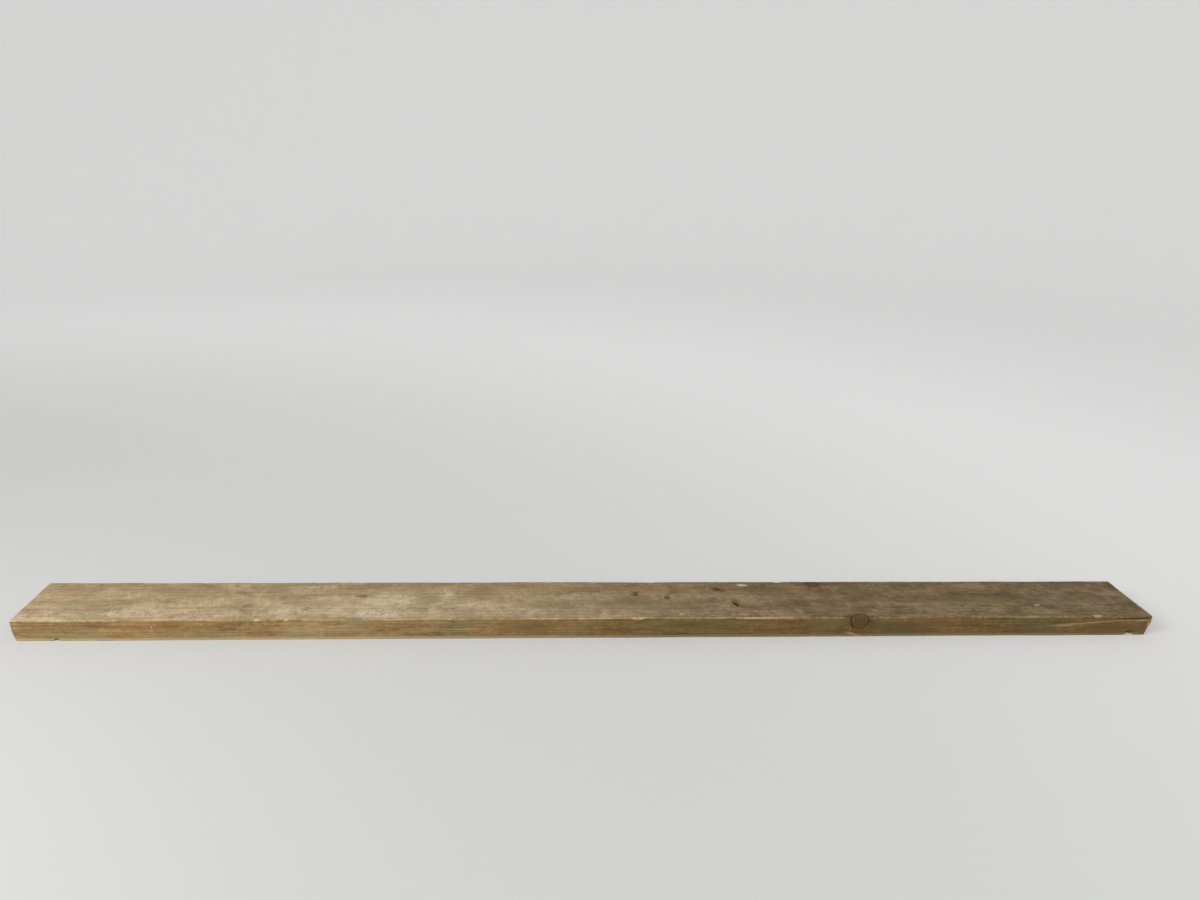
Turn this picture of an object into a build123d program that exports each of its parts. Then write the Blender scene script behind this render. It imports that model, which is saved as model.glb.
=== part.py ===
"""An old sawn softwood plank, lying flat: one solid piece of timber, 45 mm by 145 mm in section.

Units are millimetres. X runs along the grain, Y across the broad face from the front edge to the back
edge, and Z up through the thickness. The origin is the centre of the plank's footprint, on its underside.
The long arrises are worn round, each by its own amount. Both ends are sawn a little out of square. The
lower front corner is knocked off at each end, the arrises have lost splinters where they were struck, a
drying split runs in from one end and a dead knot has left a pit in the top face.
"""

import math
import os
from collections import namedtuple

from build123d import *

# Sawn size of the stock
LENGTH = 2250.0
WIDTH = 145.0
THICKNESS = 45.0

# Wear radius of each long arris, and of the arrises round both ends
FRONT_TOP_WEAR = 3.0
BACK_TOP_WEAR = 2.2
FRONT_BOTTOM_WEAR = 1.6
BACK_BOTTOM_WEAR = 1.8
END_WEAR = 1.0

# How much longer the plank is at one edge than at the other, because of each end cut: at the left end the
# back edge is the longer one, and at the right end the front edge is
LEFT_END_SKEW = 2.5
RIGHT_END_SKEW = 4.0

# A lower front corner that is knocked off: its size along the plank, across it and up the front edge
KnockedCorner = namedtuple("KnockedCorner", "along across up")
LEFT_KNOCKED_CORNER = KnockedCorner(along=5.0, across=34.0, up=26.0)
RIGHT_KNOCKED_CORNER = KnockedCorner(along=9.0, across=46.0, up=32.0)

# A splinter lost from an arris. The middle of its scar lies from_end away from the named end of the plank.
# The scar is length long, and it reaches on_face across the broad face and on_edge across the narrow one.
Splinter = namedtuple("Splinter", "arris end from_end length on_face on_edge")
SPLINTERS = [
    Splinter("front top", "left", from_end=461.0, length=24.0, on_face=6.5, on_edge=3.5),
    Splinter("front top", "left", from_end=516.0, length=12.0, on_face=5.0, on_edge=3.2),
    Splinter("front top", "left", from_end=842.0, length=30.0, on_face=3.8, on_edge=4.5),
    Splinter("front top", "right", from_end=1054.0, length=38.0, on_face=6.0, on_edge=3.6),
    Splinter("front top", "right", from_end=810.0, length=170.0, on_face=4.2, on_edge=3.0),
    Splinter("front top", "right", from_end=116.0, length=24.0, on_face=5.0, on_edge=3.2),
    Splinter("back top", "right", from_end=741.0, length=32.0, on_face=4.4, on_edge=4.0),
    Splinter("front bottom", "left", from_end=82.0, length=15.0, on_face=6.0, on_edge=5.0),
    Splinter("front bottom", "right", from_end=40.0, length=22.0, on_face=11.0, on_edge=10.0),
]

# Drying split in the front edge: a thin wedge, open at the right end and closing along the grain. Its mouth
# lies SPLIT_BELOW_TOP under the top face, and it drops by SPLIT_DROP on its way in to its tip.
SPLIT_LENGTH = 86.0
SPLIT_DEPTH = 9.0
SPLIT_MOUTH = 1.4
SPLIT_BELOW_TOP = 4.2
SPLIT_DROP = 2.5

# Pit that a dead knot has left in the top face: a shallow round dish
PIT_FROM_RIGHT = 848.0
PIT_FROM_FRONT = 55.5
PIT_WIDTH = 9.0
PIT_DEPTH = 3.0

# What a cutting shape stands proud of the wood that it takes away
SPARE = 20.0

FRONT = -WIDTH / 2
BACK = WIDTH / 2
LEFT = -LENGTH / 2
RIGHT = LENGTH / 2

# Where each long arris runs in the section, which way is outwards there, and how far it is worn
Arris = namedtuple("Arris", "y z out_y out_z wear")
ARRISES = {
    "front top": Arris(FRONT, THICKNESS, -1, 1, FRONT_TOP_WEAR),
    "back top": Arris(BACK, THICKNESS, 1, 1, BACK_TOP_WEAR),
    "front bottom": Arris(FRONT, 0.0, -1, -1, FRONT_BOTTOM_WEAR),
    "back bottom": Arris(BACK, 0.0, 1, -1, BACK_BOTTOM_WEAR),
}


def beyond(point, outwards, reach):
    """A block that fills the side of a plane that outwards points to, out to reach on every side."""
    plane = Plane(origin=point, z_dir=outwards)
    return plane * Box(2 * reach, 2 * reach, reach, align=(Align.CENTER, Align.CENTER, Align.MIN))


def worn_bar(length):
    """The sawn rectangle with each corner worn to its own radius, drawn out along the grain."""
    outline = Plane.YZ * Pos(0, THICKNESS / 2) * Rectangle(WIDTH, THICKNESS)
    bar = extrude(outline, length / 2, both=True)
    for arris in ARRISES.values():
        edge = bar.edges().filter_by(Axis.X).sort_by_distance((0, arris.y, arris.z))[0]
        bar = fillet(edge, arris.wear)
    return bar


def sawn_stock():
    """The worn bar sawn off at both ends, each cut a little out of square, with worn end arrises."""
    bar = worn_bar(LENGTH + WIDTH)
    left_cut = Vector(LEFT + LEFT_END_SKEW / 2, 0, THICKNESS / 2)
    right_cut = Vector(RIGHT - RIGHT_END_SKEW / 2, 0, THICKNESS / 2)
    bar -= beyond(left_cut, Vector(-WIDTH, -LEFT_END_SKEW, 0), WIDTH)
    bar -= beyond(right_cut, Vector(WIDTH, RIGHT_END_SKEW, 0), WIDTH)
    ends = bar.faces().sort_by(Axis.X)
    return fillet(ends[0].edges() + ends[-1].edges(), END_WEAR)


def knocked_corner(end_x, outwards, corner):
    """What breaks off at the lower front corner of an end: everything beyond one slanting plane."""
    along = Vector(end_x - outwards * corner.along, FRONT, 0)
    across = Vector(end_x, FRONT + corner.across, 0)
    up = Vector(end_x, FRONT, corner.up)
    normal = (across - along).cross(up - along)
    if normal.X * outwards < 0:
        normal = normal * -1
    return beyond((along + across + up) * (1 / 3), normal, max(corner) + SPARE)


def splinter(scar):
    """The sliver lost from an arris: what a cylinder lying across the arris takes out of it.

    The cylinder's lowest line joins the scar's reach on the broad face to its reach on the narrow one.
    """
    arris = ARRISES[scar.arris]
    slant = math.hypot(scar.on_face, scar.on_edge)
    depth = scar.on_face * scar.on_edge / slant
    radius = ((scar.length / 2) ** 2 + depth**2) / (2 * depth)
    x = LEFT + scar.from_end if scar.end == "left" else RIGHT - scar.from_end
    on_face = Vector(x, arris.y - arris.out_y * scar.on_face, arris.z)
    on_edge = Vector(x, arris.y, arris.z - arris.out_z * scar.on_edge)
    outwards = Vector(0, arris.out_y * scar.on_edge, arris.out_z * scar.on_face).normalized()
    axis = Plane(origin=(on_face + on_edge) * 0.5 + outwards * radius, z_dir=on_face - on_edge)
    return axis * Cylinder(radius, slant + 2 * SPARE)


def drying_split():
    """The thin wedge of air in the split: widest at the right end, closing to a point along the grain."""
    overrun = (SPLIT_LENGTH + SPARE) / SPLIT_LENGTH
    tip_level = THICKNESS - SPLIT_BELOW_TOP - SPLIT_DROP
    mouth_level = tip_level + SPLIT_DROP * overrun
    half_mouth = SPLIT_MOUTH * overrun / 2
    wedge = Polyline(
        (RIGHT - SPLIT_LENGTH, tip_level),
        (RIGHT + SPARE, mouth_level - half_mouth),
        (RIGHT + SPARE, mouth_level + half_mouth),
        close=True,
    )
    side = Plane.XZ.offset(-FRONT - SPLIT_DEPTH) * make_face(wedge)
    return extrude(side, SPLIT_DEPTH + SPARE)


def knot_pit():
    """The ball whose cap is the shallow dish that the dead knot has left in the top face."""
    radius = ((PIT_WIDTH / 2) ** 2 + PIT_DEPTH**2) / (2 * PIT_DEPTH)
    bottom = Pos(RIGHT - PIT_FROM_RIGHT, FRONT + PIT_FROM_FRONT, THICKNESS - PIT_DEPTH)
    return bottom * Pos(0, 0, radius) * Sphere(radius)


def plank():
    """The whole plank, from the sawn stock to the last scar."""
    wood = sawn_stock()
    wood -= knocked_corner(LEFT + LEFT_END_SKEW, -1, LEFT_KNOCKED_CORNER)
    wood -= knocked_corner(RIGHT, 1, RIGHT_KNOCKED_CORNER)
    for scar in SPLINTERS:
        wood -= splinter(scar)
    wood -= drying_split()
    wood -= knot_pit()
    return wood.solids().sort_by(SortBy.VOLUME)[-1]


os.makedirs("parts", exist_ok=True)
export_step(plank(), "parts/plank.step")
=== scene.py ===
"""Looks of an old sawn softwood plank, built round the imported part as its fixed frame.

The plank lies flat along X, with its front edge at -Y and its underside at Z 0. Sizes here are in
millimetres, as a sawyer gives them, and become metres only where Blender takes them.
"""

from __future__ import annotations

import logging
import math
from collections.abc import Callable, Sequence
from dataclasses import dataclass, field
from enum import Enum

import bpy
import numpy as np
from mathutils import Matrix, Vector


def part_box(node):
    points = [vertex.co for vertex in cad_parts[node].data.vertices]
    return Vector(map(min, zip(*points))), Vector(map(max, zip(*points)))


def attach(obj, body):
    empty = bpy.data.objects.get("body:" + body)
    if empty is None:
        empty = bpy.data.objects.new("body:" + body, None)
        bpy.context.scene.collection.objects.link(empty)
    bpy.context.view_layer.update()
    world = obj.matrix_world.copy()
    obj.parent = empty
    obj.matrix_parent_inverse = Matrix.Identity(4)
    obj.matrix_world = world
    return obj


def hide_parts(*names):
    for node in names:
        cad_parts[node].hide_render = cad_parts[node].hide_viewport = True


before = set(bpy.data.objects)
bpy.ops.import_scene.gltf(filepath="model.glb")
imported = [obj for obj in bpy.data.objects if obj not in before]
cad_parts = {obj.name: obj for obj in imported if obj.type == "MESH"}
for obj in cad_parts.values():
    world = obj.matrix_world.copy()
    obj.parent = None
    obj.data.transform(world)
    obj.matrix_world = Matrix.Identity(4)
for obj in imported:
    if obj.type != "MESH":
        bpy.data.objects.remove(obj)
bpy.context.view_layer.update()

LOG = logging.getLogger("plank")
# A millimetre in metres
MM = 0.001
# Keeps a division away from zero
TINY = 1e-6
# A length without end, and a cell so long that a noise doesn't change along it, in millimetres
ENDLESS = 1e6
UNIFORM = 1e4
FLOAT, VECTOR = "NodeSocketFloat", "NodeSocketVector"

Triple = tuple[float, float, float]
Colour = tuple[float, ...]


def srgb(*screen: int) -> Colour:
    """The linear colour, with an alpha of 1, of a screen's red, green and blue from 0 to 255."""
    shares = (value / 255 for value in screen)
    return (*(s / 12.92 if s <= 0.04045 else ((s + 0.055) / 1.055) ** 2.4 for s in shares), 1.0)


def oval(half_length: float, half_width: float, turn: float) -> tuple[Triple, Triple]:
    """The two vectors that give a place as shares of an oval's half sizes, for a turn in degrees."""
    along, aside = math.cos(math.radians(turn)), math.sin(math.radians(turn))
    return (along / half_length, aside / half_length, 0.0), (-aside / half_width, along / half_width, 0.0)


def placed(name: str, data: bpy.types.ID) -> bpy.types.Object:
    """Puts a new object with some data into the scene.

    Args:
        name: The object's name.
        data: Its mesh, lamp or camera.

    Returns:
        The object.
    """
    thing = bpy.data.objects.new(name, data)
    bpy.context.scene.collection.objects.link(thing)
    return thing


# Formulas written into node trees


def operator(name: str, swapped: bool = False) -> Callable[[Wire, Value], Wire]:
    """Makes the method that writes one operation.

    Args:
        name: Blender's name for the operation.
        swapped: Whether the wire is the second value.

    Returns:
        The method.
    """
    def write(wire: Wire, other: Value) -> Wire:
        """Writes the operation."""
        return wire.sheet.work(name, *((other, wire) if swapped else (wire, other)))
    return write


@dataclass(frozen=True, eq=False)
class Wire:
    """One output of a node, which takes part in arithmetic as a number or a vector does."""

    sheet: Sheet
    socket: bpy.types.NodeSocket

    __add__ = operator("ADD")
    __radd__ = operator("ADD", swapped=True)
    __sub__ = operator("SUBTRACT")
    __rsub__ = operator("SUBTRACT", swapped=True)
    __mul__ = __rmul__ = operator("MULTIPLY")
    __truediv__ = operator("DIVIDE")


Value = Wire | float | int | Sequence[float] | str | bool | bpy.types.ID


def is_vector(value: Value) -> bool:
    """Whether a value is more than one number."""
    kind = value.socket.type if isinstance(value, Wire) else ""
    return isinstance(value, (tuple, list)) or kind in ("VECTOR", "RGBA")


@dataclass(eq=False)
class Sheet:
    """Writes formulas into one node tree, a node at a time."""

    tree: bpy.types.NodeTree

    def node(self, kind: str, inputs: dict[str | int, Value] | None = None,
             **settings: object) -> bpy.types.Node:
        """Adds a node.

        Args:
            kind: Blender's name for the node's type.
            inputs: What goes into its sockets, by socket name or place.
            **settings: The node's own properties.

        Returns:
            The node.
        """
        node = self.tree.nodes.new(kind)
        for name, value in settings.items():
            setattr(node, name, value)
        for name, value in (inputs or {}).items():
            self.feed(node.inputs[name], value)
        return node

    def feed(self, socket: bpy.types.NodeSocket, value: Value) -> None:
        """Links a wire to a socket, or sets the socket to a plain value.

        Args:
            socket: The input socket.
            value: A wire or a plain value.
        """
        if isinstance(value, Wire):
            self.tree.links.new(value.socket, socket)
        else:
            socket.default_value = value

    def out(self, node: bpy.types.Node, name: str | int = 0) -> Wire:
        """The wire from one of a node's outputs."""
        return Wire(self, node.outputs[name])

    def made(self, kind: str, inputs: dict[str | int, Value] | None = None, output: str | int = 0,
             **settings: object) -> Wire:
        """Adds a node, as node does, and gives the wire from one of its outputs."""
        return self.out(self.node(kind, inputs, **settings), output)

    def work(self, operation: str, *values: Value) -> Wire:
        """Does arithmetic on numbers, or on vectors where any value is one.

        Args:
            operation: Blender's name for the operation.
            *values: Two or three values.

        Returns:
            The result.
        """
        vectors = [v for v in values if is_vector(v)]
        if not vectors:
            return self.made("ShaderNodeMath", dict(enumerate(values)), operation=operation)
        if operation == "MULTIPLY" and len(vectors) < len(values):
            number = next(v for v in values if v is not vectors[0])
            return self.made("ShaderNodeVectorMath", {0: vectors[0], "Scale": number}, operation="SCALE")
        return self.made("ShaderNodeVectorMath", dict(enumerate(values)), operation=operation)

    def dot(self, a: Value, b: Value) -> Wire:
        """The dot product of two vectors."""
        return self.made("ShaderNodeVectorMath", {0: a, 1: b}, "Value", operation="DOT_PRODUCT")

    def most(self, a: Value, b: Value) -> Wire:
        """The larger of two numbers."""
        return self.work("MAXIMUM", a, b)

    def least(self, a: Value, b: Value) -> Wire:
        """The smaller of two numbers."""
        return self.work("MINIMUM", a, b)

    def size(self, a: Value) -> Wire:
        """A number without its sign."""
        return self.work("ABSOLUTE", a)

    def sign(self, a: Value) -> Wire:
        """-1 for a negative number and 1 for a positive one."""
        return self.work("SIGN", a)

    def power(self, a: Value, exponent: Value) -> Wire:
        """A number to a power."""
        return self.work("POWER", a, exponent)

    def reach(self, a: Value, b: Value) -> Wire:
        """The length of the slanting side over two sides at a right angle."""
        return self.power(self.work("MULTIPLY", a, a) + self.work("MULTIPLY", b, b), 0.5)

    def bell(self, a: Wire) -> Wire:
        """1 where a number is 0, falling smoothly to nothing past 2 either way."""
        return self.power(math.e, a * a * -1.0)

    def join(self, x: Value, y: Value, z: Value) -> Wire:
        """A vector from its three parts."""
        return self.made("ShaderNodeCombineXYZ", {0: x, 1: y, 2: z})

    def split(self, vector: Wire) -> tuple[Wire, Wire, Wire]:
        """The three parts of a vector."""
        node = self.node("ShaderNodeSeparateXYZ", {0: vector})
        return self.out(node, 0), self.out(node, 1), self.out(node, 2)

    def smooth(self, value: Value, low: Value, high: Value) -> Wire:
        """Rises smoothly from 0 at low to 1 at high, or falls where low is the larger."""
        inputs = {"Value": value, "From Min": low, "From Max": high}
        return self.made("ShaderNodeMapRange", inputs, interpolation_type="SMOOTHSTEP")

    def span(self, value: Value, low: Value, high: Value, first: Value = 0.0, last: Value = 1.0) -> Wire:
        """Goes evenly from first to last as value goes from low to high, and stays there beyond."""
        inputs = {"Value": value, "From Min": low, "From Max": high, "To Min": first, "To Max": last}
        return self.made("ShaderNodeMapRange", inputs, interpolation_type="LINEAR")

    def noise(self, place: Wire, cell: Triple, detail: float = 2.0, roughness: float = 0.5,
              seed: float = 0.0, part: str = "Fac") -> Wire:
        """Smooth noise whose lumps are about as big as a cell.

        Args:
            place: Where it is read.
            cell: The size of its lumps along X, Y and Z, in millimetres.
            detail: How many finer layers it has.
            roughness: How strong the finer layers are.
            seed: Moves the pattern, so that two noises differ.
            part: The output, Fac for a number or Color for a vector.

        Returns:
            The noise, from 0 to 1 and mostly near the middle.
        """
        moved = (seed, seed * 1.7, seed * 2.3)
        stretched = self.work("MULTIPLY_ADD", place, tuple(1 / c for c in cell), moved)
        inputs = {"Vector": stretched, "Scale": 1.0, "Detail": detail, "Roughness": roughness}
        return self.made("ShaderNodeTexNoise", inputs, part)

    def mix(self, share: Value, a: Value, b: Value) -> Wire:
        """a where share is 0 and b where it is 1, for numbers and for colours.

        Args:
            share: How much of b there is.
            a: The first value.
            b: The second value.

        Returns:
            The mixture.
        """
        if is_vector(a) or is_vector(b):
            return self.made("ShaderNodeMix", {0: share, 6: a, 7: b}, 2, data_type="RGBA")
        return self.made("ShaderNodeMix", {0: share, 2: a, 3: b}, data_type="FLOAT")

    def tinted(self, base: Value, share: Value, colour: Colour) -> Wire:
        """A colour multiplied by another, as much as share says."""
        inputs = {0: share, 6: base, 7: colour}
        return self.made("ShaderNodeMix", inputs, 2, data_type="RGBA", blend_type="MULTIPLY")

    def shade(self, tone: Wire, dark: Colour, middle: Colour, light: Colour) -> Wire:
        """A colour between dark and light, for a tone that is 0 in the middle."""
        lower = self.mix(self.smooth(tone, 0.08, -0.5), middle, dark)
        return self.mix(self.smooth(tone, -0.08, 0.5), lower, light)


class TreeKind(Enum):
    """What a node group is for, by Blender's names for the tree and for the node that calls it."""

    GEOMETRY = ("GeometryNodeTree", "GeometryNodeGroup")
    SHADER = ("ShaderNodeTree", "ShaderNodeGroup")


class Group(Sheet):
    """A node group with named inputs and outputs."""

    def __init__(self, name: str, kind: TreeKind) -> None:
        """Makes an empty group.

        Args:
            name: The group's name.
            kind: What it is for.
        """
        super().__init__(bpy.data.node_groups.new(name, kind.value[0]))
        self.kind = kind
        self.entry = self.tree.nodes.new("NodeGroupInput")
        self.exit = self.tree.nodes.new("NodeGroupOutput")

    def inlets(self, socket: str, *names: str) -> list[Wire]:
        """Adds named inputs of one kind and returns their wires."""
        new = self.tree.interface.new_socket
        return [self.out(self.entry, new(name, in_out="INPUT", socket_type=socket).name) for name in names]

    def outlet(self, name: str, value: Wire, socket: str = FLOAT) -> None:
        """Adds a named output that gives a value."""
        self.tree.interface.new_socket(name, in_out="OUTPUT", socket_type=socket)
        self.feed(self.exit.inputs[name], value)

    def use(self, sheet: Sheet, inputs: dict[str, Value]) -> bpy.types.Node:
        """Calls the group from another tree, and returns the node that stands for it."""
        return sheet.node(self.kind.value[1], inputs, node_tree=self.tree)


# The timber: its rings, knots, scars and marks


@dataclass(frozen=True)
class Stock:
    """The sawn size of the plank, and how far each end cut runs out of square."""

    length: float = 2250.0
    width: float = 145.0
    thickness: float = 45.0
    left_skew: float = 2.5
    right_skew: float = 4.0

    @property
    def front(self) -> float:
        """Y of the front edge."""
        return -self.width / 2

    @property
    def back(self) -> float:
        """Y of the back edge."""
        return self.width / 2

    @property
    def left(self) -> float:
        """X of the left end."""
        return -self.length / 2

    @property
    def right(self) -> float:
        """X of the right end."""
        return self.length / 2


class Arris(Enum):
    """A long arris: which side of the plank it lies on, and whether it is at the top or the bottom."""

    FRONT_TOP = (-1, 1)
    BACK_TOP = (1, 1)
    FRONT_BOTTOM = (-1, -1)
    BACK_BOTTOM = (1, -1)

    @property
    def label(self) -> str:
        """The arris in words, such as Front top."""
        return self.name.replace("_", " ").capitalize()


@dataclass(frozen=True)
class BreakOff:
    """Wood that has broken away down to a nearly flat face, which bows out to nothing at both ends."""

    place: Triple
    outwards: Triple
    half_length: float
    depth: float
    fresh: float = 1.0


@dataclass(frozen=True)
class Splinter:
    """A sliver lost from an arris: how long its scar is, how far on to each face it goes, and how fresh."""

    arris: Arris
    x: float
    length: float
    on_face: float
    on_edge: float
    fresh: float = 0.8

    def as_break(self, stock: Stock) -> BreakOff:
        """The scar as a break-off.

        Args:
            stock: The plank's sawn size.

        Returns:
            The break-off, measured from the sharp arris.
        """
        side, level = self.arris.value
        slant = math.hypot(self.on_face, self.on_edge)
        outwards = (0.0, side * self.on_edge / slant, level * self.on_face / slant)
        place = (self.x, side * stock.width / 2, stock.thickness * (level > 0))
        return BreakOff(place, outwards, self.length / 2, self.on_face * self.on_edge / slant, self.fresh)


@dataclass(frozen=True)
class KnockedCorner:
    """A lower front corner that is gone: its size along the plank, across it and up the front edge."""

    end: int
    along: float
    across: float
    up: float

    def as_break(self, stock: Stock) -> BreakOff:
        """The break as a flat face that goes on past the corner.

        Args:
            stock: The plank's sawn size.

        Returns:
            The break-off.
        """
        x = stock.right if self.end > 0 else stock.left + stock.left_skew
        normal = Vector((self.end / self.along, -1 / self.across, -1 / self.up)).normalized()
        return BreakOff((x - self.end * self.along, stock.front, 0.0), tuple(normal), ENDLESS, 0.0, 0.45)


@dataclass(frozen=True)
class Rings:
    """The growth rings: where the log's pith ran, and how far apart the rings are."""

    pith_y: float = -4.0
    pith_z: float = -60.0
    spacing: float = 4.0
    wander: float = 9.0
    bulge: float = 7.0

    def radius(self, sheet: Sheet, place: Wire) -> Wire:
        """Distance from the pith, with the grain wandering and flowing round the knots.

        Args:
            sheet: The tree.
            place: Where it is read.

        Returns:
            The distance in millimetres.
        """
        drift = sheet.noise(place, (520.0, 160.0, 160.0), detail=1.0, seed=3.0, part="Color")
        _, y, z = sheet.split(place + (drift - (0.5, 0.5, 0.5)) * self.wander)
        radius = sheet.reach(y - self.pith_y, z - self.pith_z)
        for knot in KNOTS:
            radius = radius + sheet.bell(knot.distance(sheet, place, self) * 0.62) * (knot.pull * self.bulge)
        return radius

    def late(self, sheet: Sheet, place: Wire, radius: Wire) -> Wire:
        """The dark late wood of each ring: rises slowly through the ring and ends at once.

        Args:
            sheet: The tree.
            place: Where it is read.
            radius: Distance from the pith.

        Returns:
            0 in early wood and 1 in late wood.
        """
        uneven = sheet.noise(sheet.join(radius, 0.0, 0.0), (11.0, 1.0, 1.0), detail=1.0, seed=8.0) * 1.5
        frayed = sheet.noise(place, (80.0, 2.8, 2.8), detail=2.0, seed=9.0) * 0.2
        turn = sheet.work("FRACT", radius / self.spacing + uneven + frayed)
        return sheet.smooth(turn, 0.35, 0.9) * sheet.smooth(turn, 1.0, 0.93)


@dataclass(frozen=True)
class Knot:
    """A branch that grew out from the pith: where it comes out of the plank, and how big it is there."""

    x: float
    y: float
    z: float
    half_length: float
    half_width: float
    fill: float = 0.8
    rim: float = 0.5
    halo: float = 0.4
    groove: float = 0.4
    pull: float = 1.0
    star: float = 0.45

    def parts(self, sheet: Sheet, place: Wire, rings: Rings) -> tuple[Wire, Wire]:
        """How far a place is from the branch's axis, along the grain and across it.

        Args:
            sheet: The tree.
            place: Where it is read.
            rings: The rings, whose pith the branch starts from.

        Returns:
            Both distances as shares of the branch's half sizes.
        """
        out = Vector((0.0, self.y - rings.pith_y, self.z - rings.pith_z)).normalized()
        across = (0.0, out.z / self.half_width, -out.y / self.half_width)
        rel = place - (self.x, self.y, self.z)
        return sheet.dot(rel, (1.0 / self.half_length, 0.0, 0.0)), sheet.dot(rel, across)

    def distance(self, sheet: Sheet, place: Wire, rings: Rings) -> Wire:
        """Distance from the branch's axis, as a share of its radius, where 1 is its bark."""
        return sheet.reach(*self.parts(sheet, place, rings))


@dataclass(frozen=True)
class DryingSplit:
    """A split along the grain in the front edge, open at the right end and closing at its tip."""

    length: float = 86.0
    depth: float = 7.0
    mouth: float = 1.4
    below_top: float = 4.2
    drop: float = 2.5


@dataclass(frozen=True)
class EndCheck:
    """A drying check in an end: the Y of its line, how deep it goes in, and how far up it runs."""

    end: int
    y: float
    depth: float
    low: float
    high: float
    half_mouth: float = 0.45


@dataclass(frozen=True)
class Pit:
    """What a dead knot has left in the top face: a slanting oval hollow."""

    x: float = 277.5
    y: float = -18.5
    half_length: float = 3.4
    half_width: float = 9.0
    turn: float = 28.0
    depth: float = 3.6


class Tone(Enum):
    """What a mark on the wood is, by its colour as a screen shows it; one mark is painted shade."""

    CHALK = (214, 197, 165)
    BARE = (233, 210, 168)
    GREY = (122, 114, 102)
    # dark soot-brown marks, and one mark of painted shade
    SOOT = (71, 56, 39)
    RUST = (124, 88, 57)
    MOSS = (95, 89, 55)


@dataclass(frozen=True)
class Mark:
    """A soft-edged mark on the top face or the front edge, turned by some degrees.

    across is Y on the top face, and goes on down the front edge as if both lay flat.
    """

    x: float
    across: float
    half_length: float
    half_width: float
    strength: float
    turn: float = 0.0


def marks(*rows: tuple[float, ...]) -> tuple[Mark, ...]:
    """Marks from rows that give x, across, half_length, half_width, strength and, for some, turn."""
    return tuple(Mark(*row) for row in rows)


SPLINTERS = (
    Splinter(Arris.FRONT_TOP, -664.0, 24.0, 6.5, 3.5, 0.75),
    Splinter(Arris.FRONT_TOP, -609.0, 12.0, 5.0, 3.2, 0.65),
    Splinter(Arris.FRONT_TOP, -283.0, 30.0, 3.8, 4.5, 0.1),
    Splinter(Arris.FRONT_TOP, 71.0, 38.0, 6.0, 3.6, 0.75),
    Splinter(Arris.FRONT_TOP, 315.0, 170.0, 4.2, 3.0, 0.6),
    Splinter(Arris.FRONT_TOP, 1009.0, 24.0, 5.0, 3.2, 0.85),
    Splinter(Arris.BACK_TOP, 384.0, 32.0, 4.4, 4.0, 0.7),
    Splinter(Arris.FRONT_BOTTOM, -1043.0, 15.0, 6.0, 5.0, 0.1),
    Splinter(Arris.FRONT_BOTTOM, 1085.0, 22.0, 11.0, 10.0, 0.15),
)

CORNERS = (
    KnockedCorner(end=-1, along=5.0, across=34.0, up=26.0),
    KnockedCorner(end=1, along=9.0, across=46.0, up=32.0),
)

KNOTS = (
    Knot(518.0, -74.6, 45.0, 18.0, 12.0, fill=0.5, rim=1.0, halo=0.5, groove=1.2, pull=1.4),
    Knot(-479.0, 15.5, 45.0, 7.5, 4.2, fill=0.66, rim=0.25, halo=0.35),
    Knot(75.0, 24.0, 45.0, 4.8, 7.2, fill=1.0, rim=0.6),
    Knot(139.0, 7.5, 45.0, 5.0, 5.4, fill=0.9, rim=0.5),
    Knot(247.0, 40.0, 45.0, 7.0, 5.0, fill=0.9, rim=0.7, halo=0.6, pull=1.3),
    Knot(277.0, -17.0, 45.0, 5.5, 8.0, fill=0.3, rim=0.1, groove=0.0, star=0.0),
    Knot(457.0, 72.0, 45.0, 15.0, 17.0, fill=0.45, rim=1.0, halo=0.6, groove=0.9, pull=1.3),
)

CHECKS = (
    EndCheck(end=-1, y=21.0, depth=26.0, low=0.0, high=31.0),
    EndCheck(end=1, y=-9.0, depth=38.0, low=0.0, high=37.0),
    EndCheck(end=1, y=38.0, depth=20.0, low=6.0, high=45.0),
)

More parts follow.
